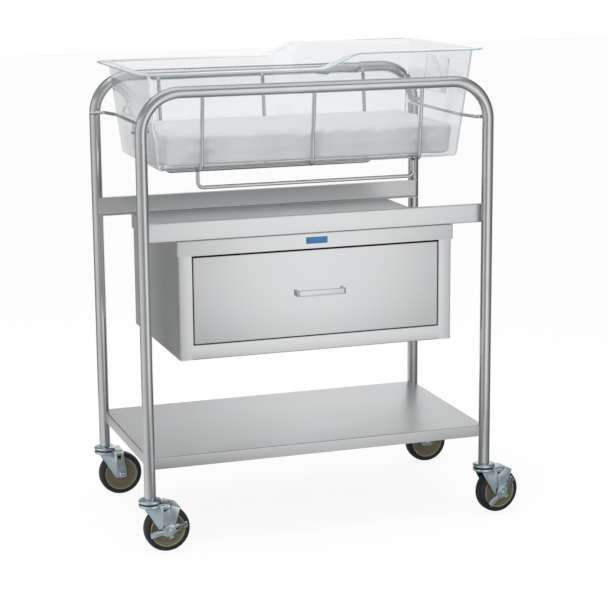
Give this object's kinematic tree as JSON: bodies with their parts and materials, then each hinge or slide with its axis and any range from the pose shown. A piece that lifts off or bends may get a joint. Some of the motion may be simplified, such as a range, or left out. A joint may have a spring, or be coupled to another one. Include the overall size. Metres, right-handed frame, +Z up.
{
  "type": "hospital bassinet",
  "caption": "Hospital bassinet: clear drafted tub with stepped rim in a wire cradle on a bent-tube trolley with drawer cabinet, shelf and braked swivel casters.",
  "frame": {"origin": "on the floor under the middle of the whole bassinet's box, casters trailing as pictured", "axes": "+X to the head end where the tub's rim is higher, -Y to the drawer side, +Z up"},
  "size_m": [0.8974, 0.4968, 1.0669],
  "materials": {
    "stainless": "satin",
    "wire": "polished",
    "zinc": "bright zinc plate",
    "rubber": "matte",
    "hub_plastic": "satin",
    "clear_plastic": "clear gloss",
    "cotton": "soft"
  },
  "bodies": {
    "frame": {"front_frame_tube": "stainless", "rear_frame_tube": "stainless", "front_rail": "stainless", "rear_rail": "stainless", "lower_shelf": "stainless", "cabinet_shell": "stainless", "cabinet_floor": "stainless", "cabinet_cover": "stainless", "slide_bracket_left": "stainless", "slide_outer_left": "zinc", "slide_bracket_right": "stainless", "slide_outer_right": "zinc", "hanger_foot": "wire", "hanger_middle": "wire", "hanger_head": "wire", "drop_wire_front": "wire", "drop_wire_rear": "wire", "end_wire_foot": "wire", "end_wire_head": "wire", "caster_stem_front_left": "zinc", "caster_stem_front_right": "zinc", "caster_stem_rear_left": "zinc", "caster_stem_rear_right": "zinc"},
    "slide_middle_left": {"slide_middle_left": "zinc"},
    "slide_middle_right": {"slide_middle_right": "zinc"},
    "drawer": {"drawer_box": "stainless", "drawer_panel_front": "stainless", "drawer_panel_back": "stainless", "drawer_front": "stainless", "drawer_pull": "wire", "slide_inner_left": "zinc", "slide_inner_right": "zinc"},
    "tub": {"tub": "clear_plastic", "card_pocket": "clear_plastic"},
    "mattress": {"mattress": "cotton"},
    "fork_front_left": {"caster_fork_front_left": "zinc", "axle_front_left": "zinc", "brake_yoke_front_left": "zinc"},
    "wheel_front_left": {"wheel_core_front_left": "hub_plastic", "tyre_front_left": "rubber"},
    "lever_front_left": {"brake_lever_front_left": "zinc"},
    "fork_front_right": {"caster_fork_front_right": "zinc", "axle_front_right": "zinc", "brake_yoke_front_right": "zinc"},
    "wheel_front_right": {"wheel_core_front_right": "hub_plastic", "tyre_front_right": "rubber"},
    "lever_front_right": {"brake_lever_front_right": "zinc"},
    "fork_rear_left": {"caster_fork_rear_left": "zinc", "axle_rear_left": "zinc"},
    "wheel_rear_left": {"wheel_core_rear_left": "hub_plastic", "tyre_rear_left": "rubber"},
    "fork_rear_right": {"caster_fork_rear_right": "zinc", "axle_rear_right": "zinc"},
    "wheel_rear_right": {"wheel_core_rear_right": "hub_plastic", "tyre_rear_right": "rubber"}
  },
  "joints": [
    {"name": "drawer_slide", "type": "slide", "parent": "frame", "child": "drawer", "axis": [0, -1, 0], "range_m": [0, 0.355]},
    {"name": "slide_middle_left_travel", "type": "slide", "parent": "frame", "child": "slide_middle_left", "axis": [0, -1, 0], "range_m": [0, 0.1775]},
    {"name": "slide_middle_right_travel", "type": "slide", "parent": "frame", "child": "slide_middle_right", "axis": [0, -1, 0], "range_m": [0, 0.1775]},
    {"name": "tub_lift", "type": "slide", "parent": "frame", "child": "tub", "axis": [0, 0, 1], "range_m": [0, 0.25]},
    {"name": "mattress_lift", "type": "slide", "parent": "tub", "child": "mattress", "axis": [0, 0, 1], "range_m": [0, 0.25]},
    {"name": "swivel_front_left", "type": "hinge", "parent": "frame", "child": "fork_front_left", "pos_m": [-0.42373, -0.21602, 0.10938], "axis": [0, 0, 1], "continuous": true},
    {"name": "roll_front_left", "type": "hinge", "parent": "fork_front_left", "child": "wheel_front_left", "pos_m": [-0.38883, -0.21602, 0.05017], "axis": [0, 1, 0], "continuous": true},
    {"name": "brake_front_left", "type": "hinge", "parent": "fork_front_left", "child": "lever_front_left", "pos_m": [-0.38883, -0.21602, 0.05017], "axis": [0, -1, 0], "range_deg": [0, 30]},
    {"name": "swivel_front_right", "type": "hinge", "parent": "frame", "child": "fork_front_right", "pos_m": [0.36367, -0.21602, 0.10938], "axis": [0, 0, 1], "continuous": true},
    {"name": "roll_front_right", "type": "hinge", "parent": "fork_front_right", "child": "wheel_front_right", "pos_m": [0.39814, -0.21057, 0.05017], "axis": [-0.1564, 0.9877, 0], "continuous": true},
    {"name": "brake_front_right", "type": "hinge", "parent": "fork_front_right", "child": "lever_front_right", "pos_m": [0.39814, -0.21057, 0.05017], "axis": [0.1564, -0.9877, 0], "range_deg": [-30, 0]},
    {"name": "swivel_rear_left", "type": "hinge", "parent": "frame", "child": "fork_rear_left", "pos_m": [-0.42373, 0.22212, 0.10938], "axis": [0, 0, 1], "continuous": true},
    {"name": "roll_rear_left", "type": "hinge", "parent": "fork_rear_left", "child": "wheel_rear_left", "pos_m": [-0.38883, 0.22212, 0.05017], "axis": [0, 1, 0], "continuous": true},
    {"name": "swivel_rear_right", "type": "hinge", "parent": "frame", "child": "fork_rear_right", "pos_m": [0.36367, 0.22212, 0.10938], "axis": [0, 0, 1], "continuous": true},
    {"name": "roll_rear_right", "type": "hinge", "parent": "fork_rear_right", "child": "wheel_rear_right", "pos_m": [0.39857, 0.22212, 0.05017], "axis": [0, 1, 0], "continuous": true}
  ],
  "couplings": [
    {"joint": "slide_middle_left_travel", "follows": "drawer_slide", "ratio": 0.5},
    {"joint": "slide_middle_right_travel", "follows": "drawer_slide", "ratio": 0.5}
  ]
}
